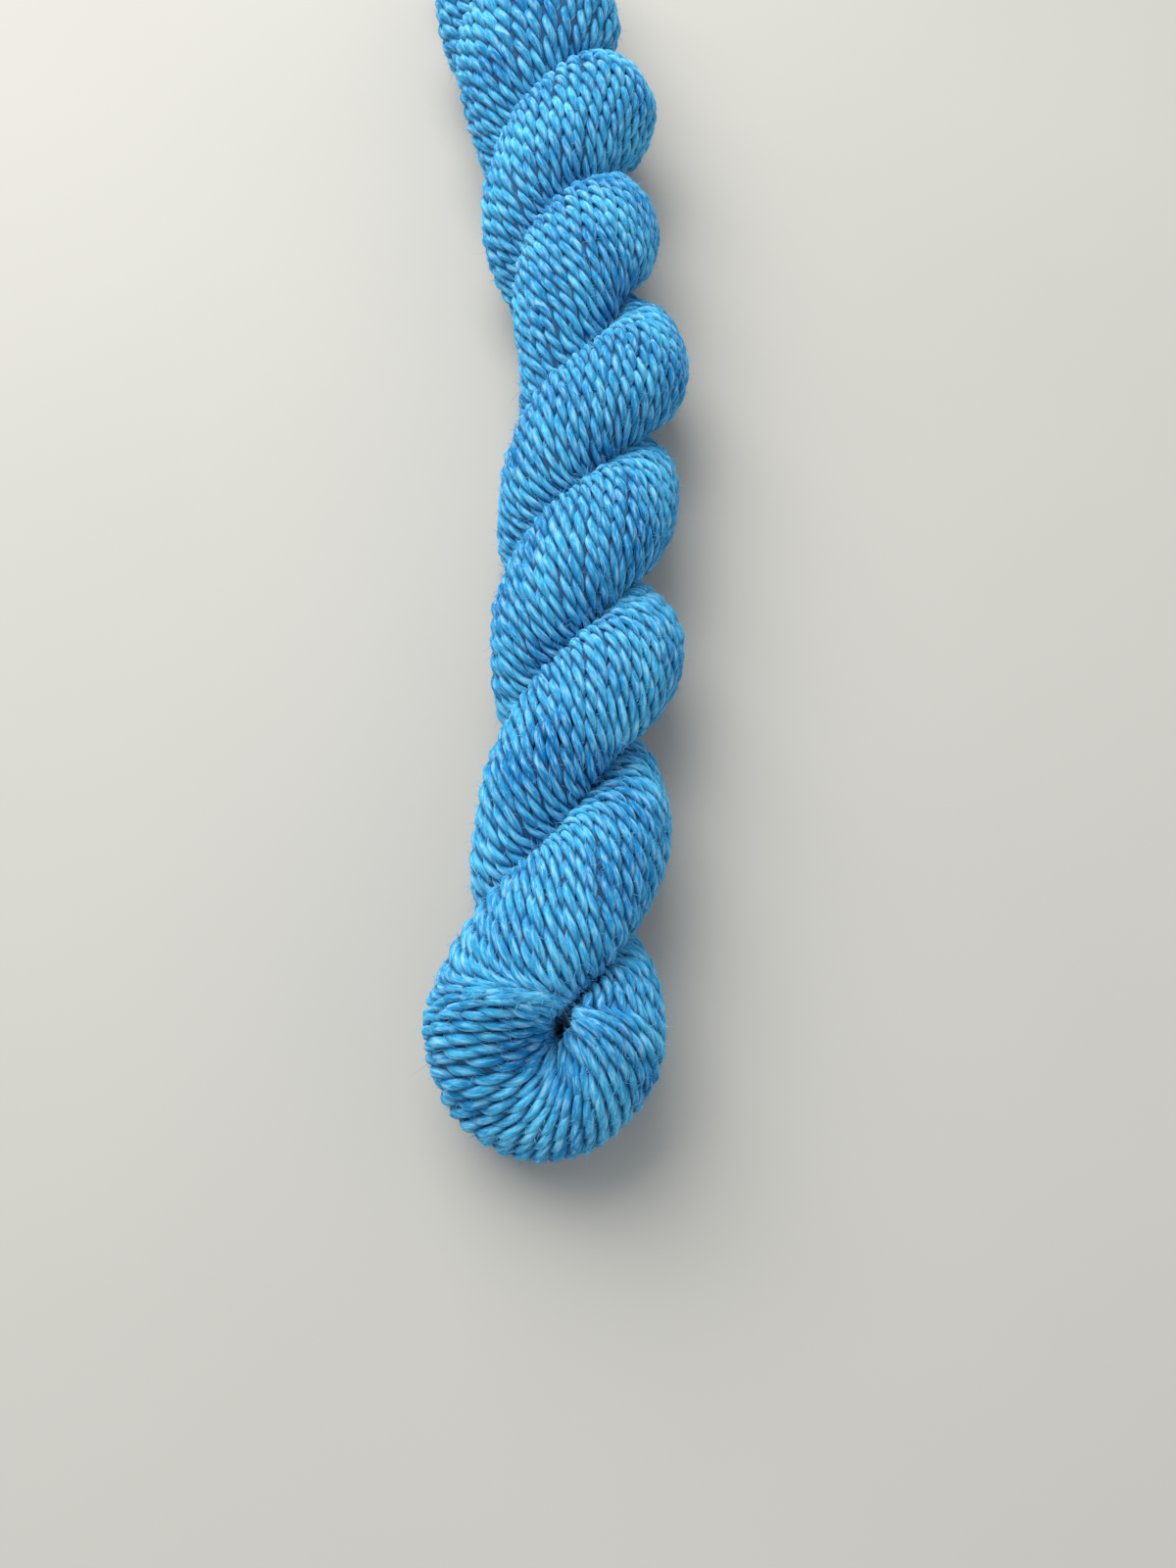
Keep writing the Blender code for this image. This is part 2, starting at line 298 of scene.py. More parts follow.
@dataclass(frozen=True)
class Hank:
    """The twisted hank as one path: down the first leg, round the fold and up the second leg.

    Path 0 is where the first leg meets the fold. In the legs it counts metres along the rope.
    """

    rope: RopeMeasure = RopeMeasure()
    fold: FoldMeasure = FoldMeasure()
    tilt_from: float = 16.0 * MM  # where rings start to turn square to the second leg's run
    tilt_over: Pair = (10.0 * MM, 6.0 * MM)  # and over what length, on each leg
    press_softness: float = 0.3 * MM
    outline_steps: int = 360

    @property
    def fold_length(self) -> float:
        """The path's length round the fold."""
        return math.pi * self.fold.radius

    @property
    def leg_length(self) -> float:
        """The path's length on one leg."""
        return self.rope.legs_end - self.rope.fold_along

    def ends(self, beyond: float) -> Pair:
        """Where the path starts and ends, with a length more on each leg."""
        return -self.leg_length - beyond, self.fold_length + self.leg_length + beyond

    def in_fold(self, path: Array) -> Array:
        """Whether each place is in the fold."""
        return (path > 0.0) & (path < self.fold_length)

    def sections(self, path: Array) -> Sections:
        """The hank's sections.

        Args:
            path: places on the path, in metres.

        Returns:
            A section for each place.
        """
        rope, fold = self.rope, self.fold
        turn = np.clip(path / self.fold_length, 0.0, 1.0) * math.pi
        in_fold = self.in_fold(path)
        grown = np.sin(turn) * in_fold
        beyond = np.maximum(np.maximum(-path, path - self.fold_length), 0.0)
        open_here = np.clip(1.0 - beyond / fold.pit_mouth, 0.0, 1.0) ** 2
        along = rope.fold_along + beyond
        swell = rope.through("swell", along)
        twist = rope.twist_rate(along)
        reach = rope.leg_offset * swell
        lean = np.arctan(reach * twist)
        bend = twist * np.sin(lean)
        centre = rope.centre(along)
        dip = fold.radius * np.tan(lean) / 2
        centre[..., 2] += (fold.height - centre[..., 2]) * grown**2
        centre[..., 2] -= dip * np.sin(2 * turn) * in_fold

        second = path >= self.fold_length
        angle = math.pi * (rope.through("half_turns", along) + second)
        sign = np.where(second, 1.0, -1.0)
        leg_outward = xyz(np.sin(angle), 0.0, np.cos(angle))
        leg_across = xyz(sign * np.cos(angle), 0.0, -sign * np.sin(angle))
        fold_outward = xyz(-np.cos(turn), -np.sin(turn), 0.0)
        side = np.where(in_fold, np.cos(turn), -sign)
        share = 1 + side * rope.through("lopsided", along)
        half_deep = rope.leg_half_deep * swell
        half_wide = rope.leg_half_wide * swell
        all_round, added = fold.pit_shares
        return Sections(
            centre=centre,
            outward=np.where(in_fold[..., None], fold_outward, leg_outward),
            across=np.where(in_fold[..., None], (0.0, 0.0, -1.0), leg_across),
            reach=(reach + (fold.radius - reach) * grown) * share,
            half_deep=(half_deep + (fold.half_deep - half_deep) * grown) * share,
            half_wide=half_wide + (fold.half_tall - half_wide) * grown,
            lean=lean * (1 - grown),
            bend=bend * (1 - grown),
            inner=fold.pit_radius * (all_round * open_here + added * grown),
        )

    def skin(
        self, path: Array, angle: Array, inset: Array | float, press: float
    ) -> tuple[Array, Array]:
        """Places under the hank's skin, on rings square to its run.

        Args:
            path: where each ring is centred.
            angle: round the ring, 0 outwards.
            inset: how far under the skin.
            press: how far the place is kept from the other leg, or from the fold's pit.

        Returns:
            The places, and how far each would be from the other leg if nothing stopped it.
        """
        ring = self.sections(path)
        tilted = np.maximum(-path / self.tilt_over[0], (path - self.tilt_from) / self.tilt_over[1])
        tilt = ring.lean * eased(np.clip(tilted, 0.0, 1.0))
        shift = (ring.half_wide - inset) * np.sin(angle) * np.sin(tilt)
        section = self.sections(path - shift)
        outwards, sideways = section.edge(angle, inset, self.rope.inner_fullness)
        kept = soft_floor(outwards, section.inner + press, self.press_softness)
        return self.rope.sag(section.point(kept, sideways)), outwards - section.inner

    def outlines(self, path: Array, inset: float, faces: int) -> Array:
        """Half outlines of plane sections, from one groove between the legs to the other.

        Args:
            path: places on the path.
            inset: how far under the skin.
            faces: how many steps each outline takes.

        Returns:
            Rings of points, one for each place.
        """
        section = self.sections(path)
        fullness = self.rope.inner_fullness
        inner = (section.inner + inset) * self.in_fold(path)
        sweep = np.linspace(0.0, math.pi, self.outline_steps)[:, None]
        outwards, _ = section.edge(sweep, inset, fullness)
        meets = np.argmax(outwards < inner, axis=0) * math.pi / (self.outline_steps - 1)
        angles = meets * np.linspace(-1.0, 1.0, faces + 1)[:, None]
        outwards, sideways = section.edge(angles, inset, fullness)
        outwards[0] = outwards[-1] = inner
        return self.rope.sag(section.point(outwards, sideways)).swapaxes(0, 1)


# Strands of yarn


class Ply(Enum):
    """Which way the plies of a yarn are twisted together, as the sign of their turning."""

    S_TWIST = -1.0
    Z_TWIST = 1.0


@dataclass
class Strand:
    """One length of yarn: the places along its middle and which way is out of the hank."""

    middle: Array
    outward: Array
    shown: Array
    girth: Array
    spread: Array  # width against the plain yarn, to fill the room between its neighbours
    phase: Array  # how far the plies are turned, in radians
    closed: bool = False

    @classmethod
    def plain(cls, middle: Array, outward: Array, phase: float, closed: bool = False) -> Strand:
        """A strand of even girth that shows from end to end.

        Args:
            middle: the places along its middle.
            outward: which way is out of the hank at each.
            phase: how far its plies are turned.
            closed: whether its end joins its start.

        Returns:
            The strand.
        """
        full = np.ones(len(middle))
        return cls(middle, outward, full, full, full, phase * full, closed)

    def stepped(self, step: float) -> Strand:
        """The same strand in even steps.

        Args:
            step: length of a step, in metres.

        Returns:
            The strand with its places spread evenly along it.
        """
        length = run_length(self.middle)
        even = np.linspace(0.0, length[-1], round(length[-1] / step) + 1)

        def resampled(values: Array) -> Array:
            """Reads values at the even places."""
            columns = [np.interp(even, length, column) for column in np.atleast_2d(values.T)]
            return np.stack(columns, axis=-1).squeeze()

        names = ("middle", "outward", "shown", "girth", "spread", "phase")
        return replace(self, **{name: resampled(getattr(self, name)) for name in names})


@dataclass(frozen=True)
class Wave:
    """Smooth unevenness of the yarn: its usual length in metres, and how large it gets."""

    length: float
    size: float
    shares: tuple[float, ...] = (1.0, 0.61, 0.37)  # of the waves that it adds up
    stretch: float = 0.3  # added to the share that each wave's length takes

    def along(self, places: Array, rng: np.random.Generator) -> Array:
        """A wavering value.

        Args:
            places: distances along the strand, in metres.
            rng: the strand's own row of random numbers.

        Returns:
            A value for each distance.
        """
        total = np.zeros_like(places)
        for share in self.shares:
            start = rng.uniform(0.0, FULL_TURN)
            long = self.length * (share + self.stretch)
            total += share * np.sin(FULL_TURN * places / long + start)
        return self.size * total / sum(self.shares)


def run_length(points: Array) -> Array:
    """The distance of each point from the first, along their row."""
    steps = np.linalg.norm(np.diff(points, axis=0), axis=1)
    return np.concatenate([[0.0], np.cumsum(steps)])


def unit(vectors: Array) -> Array:
    """Vectors of length one in the same directions."""
    return vectors / np.maximum(np.linalg.norm(vectors, axis=-1, keepdims=True), 1e-12)


def linked(name: str, data: ID) -> Object:
    """Makes an object and links it to the scene.

    Args:
        name: the object's name.
        data: its mesh, lamp or camera.

    Returns:
        The object.
    """
    made = bpy.data.objects.new(name, data)
    bpy.context.scene.collection.objects.link(made)
    return made


@dataclass
class MeshMaker:
    """Gathers vertices, faces and real-size texture places of one piece."""

    name: str
    vertices: list[Array] = field(default_factory=list)
    quads: list[Array] = field(default_factory=list)
    caps: list[list[int]] = field(default_factory=list)
    quad_places: list[Array] = field(default_factory=list)
    cap_places: list[Array] = field(default_factory=list)
    count: int = 0

    def add_tube(self, rings: Array, places: Array | None = None, closed: bool = False) -> None:
        """Adds a tube through rings of points.

        Args:
            rings: the points, ring by ring.
            places: texture places in metres along and round the tube, with one column more than
                the rings have points, and one row more where the last ring joins the first.
            closed: whether the last ring joins the first.
        """
        count, around = rings.shape[:2]
        if places is None:
            places = np.zeros((count + closed, around + 1, 2))
        index = self.count + np.arange(count * around).reshape(count, around)
        near = index if closed else index[:-1]
        far = np.roll(index, -1, axis=0) if closed else index[1:]
        self.add_quads(near, far)
        corners_of = (places[:-1, :-1], places[:-1, 1:], places[1:, 1:], places[1:, :-1])
        self.quad_places.append(np.stack(corners_of, axis=2).reshape(-1, 2))
        self.vertices.append(rings.reshape(-1, 3))
        if not closed:
            self.caps += [index[0, ::-1].tolist(), index[-1].tolist()]
            self.cap_places += [places[0, -2::-1], places[-1, :-1]]
        self.count += count * around

    def add_quads(self, near: Array, far: Array) -> None:
        """Adds four-sided faces between rings of vertices and the rings that follow them."""
        quads = [near, np.roll(near, -1, axis=-1), np.roll(far, -1, axis=-1), far]
        self.quads.append(np.stack(quads, axis=-1).reshape(-1, 4))

    def add_fibres(self, rings: Array, tips: Array) -> None:
        """Adds many thin fibres, each closed at its root and pointed at its tip.

        Args:
            rings: the points by fibre, ring and side.
            tips: the last point of each fibre.
        """
        fibres, parts, sides = rings.shape[:3]
        points = np.concatenate([rings.reshape(fibres, parts * sides, 3), tips[:, None]], axis=1)
        index = self.count + np.arange(points.shape[0] * points.shape[1])
        index = index.reshape(fibres, parts * sides + 1)
        ring = index[:, :-1].reshape(fibres, parts, sides)
        last, tip = ring[:, -1], np.broadcast_to(index[:, -1:], (fibres, sides))
        points_to = np.stack([last, np.roll(last, -1, axis=1), tip], axis=-1)
        self.add_quads(ring[:, :-1], ring[:, 1:])
        self.quad_places.append(np.zeros((fibres * (parts - 1) * sides * 4, 2)))
        self.caps += points_to.reshape(-1, 3).tolist() + ring[:, 0, ::-1].tolist()
        self.cap_places.append(np.zeros((fibres * sides * 4, 2)))
        self.vertices.append(points.reshape(-1, 3))
        self.count += points.shape[0] * points.shape[1]

    def build(self, material: Material) -> Object:
        """Makes the piece as a Blender object.

        Args:
            material: its finish.

        Returns:
            The object, linked to the scene.
        """
        vertices = np.concatenate(self.vertices)
        faces = np.concatenate(self.quads).tolist() + self.caps
        mesh = bpy.data.meshes.new(self.name)
        mesh.from_pydata(vertices.tolist(), [], faces)
        places = np.concatenate(self.quad_places + self.cap_places)
        layer = mesh.uv_layers.new(name="fibre")
        layer.data.foreach_set("uv", places.astype(np.float32).ravel())
        mesh.polygons.foreach_set("use_smooth", np.ones(len(mesh.polygons), dtype=bool))
        mesh.materials.append(material)
        mesh.update()
        return linked(self.name, mesh)


@dataclass(frozen=True)
class Yarn:
    """A two-ply yarn of aran weight in metres, pressed flat where it rests."""

    diameter: float = 2.4 * MM
    ply_half: float = 0.86 * MM
    ply_offset: float = 0.52 * MM
    groove: float = 0.12 * MM  # how much deeper the plies part than two circles would
    groove_power: int = 24  # the higher, the narrower that part of the groove
    flat: float = 0.88  # pressed depth against plain depth
    pitch: float = 7.8 * MM
    ply: Ply = Ply.S_TWIST
    points: int = 12
    step: float = 0.78 * MM
    fewest_rings: int = 4
    rest_height: float = 0.06 * MM
    rest_softness: float = 0.12 * MM

    def radii(self) -> tuple[Array, Array]:
        """The yarn's section, two plies side by side.

        Returns:
            Angles round the section, and the distance to its edge at each.
        """
        angles = np.arange(self.points) * FULL_TURN / self.points
        edge = np.sqrt(self.ply_half**2 - (self.ply_offset * np.sin(angles)) ** 2)
        parting = self.groove * np.abs(np.sin(angles)) ** self.groove_power
        return angles, self.ply_offset * np.abs(np.cos(angles)) + edge - parting

    def rings(self, strand: Strand) -> tuple[Array, Array]:
        """The skin of one strand.

        Args:
            strand: the strand.

        Returns:
            Rings of points, and the texture place of each.
        """
        length = run_length(strand.middle)
        tangent = unit(np.gradient(strand.middle, axis=0))
        pitch = self.pitch
        if strand.closed:
            tangent[0] = tangent[-1] = unit(strand.middle[1] - strand.middle[-2])
            pitch = length[-1] / max(round(length[-1] / pitch), 1)
        outward = strand.outward
        outward = unit(outward - (outward * tangent).sum(axis=1, keepdims=True) * tangent)
        beside = np.cross(tangent, outward)
        turned = strand.phase + self.ply.value * FULL_TURN * length / pitch
        angles, radii = self.radii()
        around = turned[:, None] + angles
        reach = radii * strand.girth[:, None]
        points = (
            strand.middle[:, None]
            + (self.flat * reach * np.cos(around))[..., None] * outward[:, None]
            + (strand.spread[:, None] * reach * np.sin(around))[..., None] * beside[:, None]
        )
        points[..., 2] = soft_floor(points[..., 2], self.rest_height, self.rest_softness)
        round_it = np.append(angles, FULL_TURN) * self.diameter / 2
        lengths, rounds = np.meshgrid(length + strand.phase[0], round_it, indexing="ij")
        return points, np.stack([lengths, rounds], axis=-1)

    def add(self, maker: MeshMaker, strand: Strand) -> None:
        """Adds the parts of a strand that show.

        Args:
            maker: the piece that takes it.
            strand: the strand.
        """
        rings, places = self.rings(strand)
        if strand.closed:
            maker.add_tube(rings[:-1], places, closed=True)
            return
        shown = np.concatenate([[False], strand.shown > 0.5, [False]])
        edges = np.flatnonzero(np.diff(shown))
        for start, end in zip(edges[::2], edges[1::2]):
            if end - start >= self.fewest_rings:
                maker.add_tube(rings[start:end], places[start:end])


@dataclass(frozen=True)
class TuckLay:
    """How the yarn lies on the tucked end: a collar of strands, and a knob that comes through."""

    rope: RopeMeasure = RopeMeasure()
    yarn: Yarn = Yarn()
    lean: float = math.radians(-18)
    collar_radii: Pair = (13.5 * MM, 11.0 * MM)
    collar_bundle: float = 6.0 * MM
    collar_strands: int = 15
    collar_step: float = 0.8 * MM
    collar_waver: float = 0.25 * MM
    collar_waves: tuple[int, int] = (3, 5)
    knob_half: Triple = (11.0 * MM, 18.0 * MM, 8.5 * MM)
    knob_droop: float = math.radians(-10)
    knob_strands: int = 13
    knob_reach: float = math.radians(76)  # of the outermost strands from the middle one
    knob_sweep: Pair = (math.radians(-14), math.radians(194))
    knob_places: int = 90
    knob_tilt: float = math.radians(24)
    knob_waver: float = 0.03  # radians
    knob_waves: float = 2.3

    def placed(self, points: Array, droop: float) -> Array:
        """Moves places round the middle of the tuck to the skein, drooping by an angle."""
        turn = np.array(Euler((droop, 0.0, self.lean)).to_matrix())
        return points @ turn.T + self.rope.heart(self.rope.legs_end)

    def on_collar(self, turn: Array, depth: Array | float, sideways: Array | float) -> Array:
        """Places in the collar.

        Args:
            turn: round the collar.
            depth: outwards from the middle of its bundle.
            sideways: along the skein from there.

        Returns:
            The places in the skein.
        """
        wide, tall = self.collar_radii
        ring = xyz((wide + depth) * np.cos(turn), sideways, (tall + depth) * np.sin(turn))
        return self.placed(ring, 0.0)

    def ring_strand(self, start: float, inset: float, seed: int) -> Strand:
        """One strand of the collar, which winds once round its bundle.

        Args:
            start: where it starts round the bundle, in radians.
            inset: how far it lies under the bundle's skin.
            seed: of its unevenness.

        Returns:
            A closed strand.
        """
        around_collar = FULL_TURN * self.collar_radii[0]
        turn = np.linspace(0.0, FULL_TURN, round(around_collar / self.collar_step))
        phase = np.random.default_rng(seed).uniform(0.0, FULL_TURN, 2)
        long, short = (np.sin(waves * turn + at) for waves, at in zip(self.collar_waves, phase))
        bundle = self.collar_bundle - inset + self.collar_waver * (long + short) / 2
        around = start + turn
        middle = self.on_collar(turn, bundle * np.cos(around), bundle * np.sin(around))
        outward = middle - self.on_collar(turn, 0.0, 0.0)
        return Strand.plain(middle, outward, phase[0], closed=True)

    def knob_strand(self, latitude: float, inset: float, seed: int) -> Strand:
        """One strand of the knob: out on one side, round the tip and back on the other.

        Args:
            latitude: how far it lies above the knob's middle plane, in radians.
            inset: how far it lies under the knob's skin.
            seed: of its unevenness.

        Returns:
            An open strand.
        """
        half = np.array(self.knob_half) - inset
        turn = np.linspace(*self.knob_sweep, self.knob_places)
        phase = np.random.default_rng(seed).uniform(0.0, FULL_TURN, 2)
        lift = latitude + self.knob_waver * np.sin(self.knob_waves * turn + phase[0])
        pole = np.array([math.sin(self.knob_tilt), 0.0, math.cos(self.knob_tilt)])
        level = np.array([math.cos(self.knob_tilt), 0.0, -math.sin(self.knob_tilt)])
        ahead = np.array([0.0, 1.0, 0.0])
        ball = (
            np.sin(lift)[:, None] * pole
            + (np.cos(lift) * np.cos(turn))[:, None] * level
            + (np.cos(lift) * np.sin(turn))[:, None] * ahead
        )
        outward = self.placed(ball / half, self.knob_droop)
        outward -= self.placed(np.zeros(3), self.knob_droop)
        return Strand.plain(self.placed(ball * half, self.knob_droop), outward, phase[1])

    def make(self) -> list[Strand]:
        """All the strands of the tucked end.

        Returns:
            The collar's strands, then the knob's.
        """
        inset = self.yarn.diameter / 2
        collar = [
            self.ring_strand(FULL_TURN * number / self.collar_strands, inset, COLLAR_SEED + number)
            for number in range(self.collar_strands)
        ]
        latitudes = np.linspace(-self.knob_reach, self.knob_reach, self.knob_strands)
        knob = [
            self.knob_strand(float(latitude), inset, KNOB_SEED + number)
            for number, latitude in enumerate(latitudes)
        ]
        return collar + knob


@dataclass(frozen=True)
class HankLay:
    """How the yarn lies on the hank: strands wound round each leg and round the fold."""

    hank: Hank = Hank()
    yarn: Yarn = Yarn()
    tuck: TuckLay = TuckLay()
    stations: tuple[Lay, ...] = LAY
    path_step: float = 0.2 * MM
    strands: int = 19
    fold_strands: int = 27  # more of them come up where the hank is thicker, at the fold
    risen_to: float = 17.0 * MM  # from the fold's middle, where they are all the way up
    risen_from: float = 42.0 * MM  # and where they start
    bedded: float = 0.44  # how far a strand's middle is under the skin, for its diameter
    sunk: float = 1.9 * MM  # how much deeper an extra strand starts
    first_seen: float = 0.25  # how far an extra strand has risen where it starts to be drawn
    press: float = 0.8 * MM
    hidden_past: float = -2.5 * MM  # how far into the other leg a strand is still drawn
    overrun: float = 9.0 * MM  # of the strands, into the collar
    collar_cut: float = 1.0 * MM  # where they end, past the collar's middle
    run_out: float = 2.4  # about the length of yarn on each length of path
    side_waves: tuple[Wave, Wave] = (Wave(46.0 * MM, 0.42 * MM), Wave(14.0 * MM, 0.147 * MM))
    depth_wave: Wave = Wave(24.0 * MM, 0.30 * MM)
    girth_wave: Wave = Wave(19.0 * MM, 0.10)
    twist_wave: Wave = Wave(32.0 * MM, 0.7)
    girth_power: float = 0.25  # of the section's area against the plain leg's
    spread_limits: Pair = (0.75, 1.42)
    nudge: float = 0.01  # radians round the leg, to measure the room that a strand has
    quick_step: float = 2.0

    def path(self) -> Array:
        """Places on the hank's path, close enough for the yarn's step."""
        start, end = self.hank.ends(self.overrun)
        return np.linspace(start, end, round((end - start) / self.path_step) + 1)

    def rate(self, path: Array) -> Array:
        """How fast the yarn winds round its leg or the fold, in radians per metre of its run."""
        known = [station.path * MM for station in self.stations]
        return np.interp(path, known, [station.rate for station in self.stations])

    def risen(self, path: Array) -> Array:
        """How far the extra strands have come up to the skin: 0 on the legs, 1 in the fold."""
        left = self.risen_from - np.abs(path - self.hank.fold_length / 2)
        return eased(np.clip(left / (self.risen_from - self.risen_to), 0.0, 1.0))

    def make(self) -> list[Strand]:
        """All the strands of the hank.

        Returns:
            One strand for each place round the hank.
        """
        path = self.path()
        rope = self.hank.rope
        section = self.hank.sections(path)
        deep, wide = section.half_deep, section.half_wide
        uneven = (wide**2 - deep**2) / (wide**2 + deep**2) / 4
        fuller = (deep * wide / (rope.leg_half_deep * rope.leg_half_wide)) ** self.girth_power
        diameter = self.yarn.diameter
        wound = np.cumsum(self.rate(path) / np.cos(section.lean)) * (path[1] - path[0])
        risen = self.risen(path)
        spare = self.fold_strands - self.strands
        apart = FULL_TURN / (self.strands + spare * risen)
        heart, _ = self.hank.skin(path, np.zeros_like(path), deep, self.press)
        collar = rope.heart(rope.legs_end)
        collar_axis = np.array([-math.sin(self.tuck.lean), math.cos(self.tuck.lean), 0.0])
        wavered = path * self.run_out
        step = self.yarn.step * 1.0
        made = []
        for number in range(self.fold_strands):
            rng = np.random.default_rng(STRAND_SEED + number)
            side = sum(wave.along(wavered, rng) for wave in self.side_waves)
            depth = self.depth_wave.along(wavered, rng)
            before = number * spare // self.fold_strands
            extra = (number + 1) * spare // self.fold_strands - before
            rank = number - before - 0.5 * extra  # an extra strand lies between two of the leg's
            slot = rank * FULL_TURN / self.strands * (1 - risen)
            slot += number * FULL_TURN / self.fold_strands * risen
            around = slot - wound + side / np.sqrt(deep * wide)
            angle = around - uneven * np.sin(2 * around)
            angle = (angle + math.pi) % FULL_TURN - math.pi
            inset = diameter * self.bedded * fuller + depth + extra * self.sunk * (1 - risen)
            middle, clear = self.hank.skin(path, angle, inset, self.press)
            beside, _ = self.hank.skin(path, angle + self.nudge, inset, self.press)
            run = unit(np.gradient(middle, axis=0))
            room = np.linalg.norm(np.cross(run, beside - middle), axis=1) / self.nudge * apart
            shown = (clear > self.hidden_past) & (risen >= self.first_seen * extra)
            shown &= (middle - collar) @ collar_axis < self.collar_cut
            girth = fuller * (1 + self.girth_wave.along(wavered, rng))
            spread = np.clip(room / (diameter * fuller), *self.spread_limits)
            phase = rng.uniform(0.0, FULL_TURN) + self.twist_wave.along(wavered, rng)
            strand = Strand(middle, middle - heart, shown.astype(float), girth, spread, phase)
            made.append(strand.stepped(step))
        return made


@dataclass(frozen=True)
class InnerTurns:
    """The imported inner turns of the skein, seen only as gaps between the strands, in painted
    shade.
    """

    hank: Hank = Hank()
    tuck: TuckLay = TuckLay()
    inset: float = 1.1 * MM
    leg_step: float = 2.0 * MM
    leg_faces: int = 20
    fold_rings: int = 16
    wall_rows: int = 5
    floor_height: float = 8.5 * MM  # of the cushion that closes the fold's pit from below
    floor_shift: float = 1.5 * MM
    floor_half: Triple = (5.4 * MM, 6.0 * MM, 5.6 * MM)
    floor_rings: int = 8
    collar_rings: int = 48
    knob_rings: int = 16
    sides: int = 16
    ball_end: float = 80.0  # degrees from its middle to where a ball is cut flat
    rest_height: float = 0.6 * MM  # the yarn's own thickness keeps them off what they rest on
    rest_softness: float = 0.2 * MM

    def ball(self, rings: int) -> Array:
        """A ball of radius one, cut flat below and above.

        Args:
            rings: how many it has.

        Returns:
            Its rings of points, from the lowest to the highest.
        """
        height = np.radians(np.linspace(-self.ball_end, self.ball_end, rings))[:, None]
        around = np.linspace(0.0, FULL_TURN, self.sides, endpoint=False)
        level = np.cos(height)
        return xyz(level * np.cos(around), level * np.sin(around), np.sin(height))

    def legs_and_fold(self) -> tuple[Array, Array]:
        """The skins of both legs, joined to one rope, and of the fold between them.

        Returns:
            The rope's rings and the fold's.
        """
        hank = self.hank
        leg = np.linspace(0.0, hank.leg_length, round(hank.leg_length / self.leg_step) + 1)
        turn = np.linspace(0.0, hank.fold_length, self.fold_rings + 2)[1:-1]
        first, fold, second = (
            hank.outlines(path, self.inset, self.leg_faces)
            for path in (-leg, turn, leg + hank.fold_length)
        )
        bend = np.concatenate([first[:1], fold, second[:1]])
        share = np.linspace(1.0, 0.0, self.wall_rows + 2)[1:-1, None]
        wall = share * bend[:, -1:] + (1 - share) * bend[:, :1]
        rope = np.concatenate([second, first[:, -2:0:-1]], axis=1)
        return rope, np.concatenate([bend, wall], axis=1)

    def pit_floor(self) -> Array:
        """The cushion that closes the pit of the fold from below.

        Returns:
            Its rings, from its foot to its top.
        """
        foot = self.hank.rope.heart(self.hank.rope.fold_along)
        middle = np.array([foot[0], foot[1] + self.floor_shift, self.floor_height])
        return middle + self.ball(self.floor_rings) * np.array(self.floor_half)

    def build(self, material: Material) -> Object:
        """Makes the piece.

        Args:
            material: its finish.

        Returns:
            One piece with closed skins for the legs, the fold, its pit, the collar and the knob.
        """
        tuck = self.tuck
        turn = np.linspace(0.0, FULL_TURN, self.collar_rings, endpoint=False)[:, None]
        around = np.linspace(0.0, FULL_TURN, self.sides, endpoint=False)
        bundle = tuck.collar_bundle - self.inset
        collar = tuck.on_collar(turn, bundle * np.cos(around), bundle * np.sin(around))
        ahead = self.ball(self.knob_rings)[..., [0, 2, 1]]
        knob = tuck.placed(ahead * (np.array(tuck.knob_half) - self.inset), tuck.knob_droop)
        maker = MeshMaker("inner_turns")
        for rings in (*self.legs_and_fold(), self.pit_floor(), collar, knob[:, ::-1]):
            rings[..., 2] = soft_floor(rings[..., 2], self.rest_height, self.rest_softness)
            maker.add_tube(rings, closed=rings is collar)
        return maker.build(material)


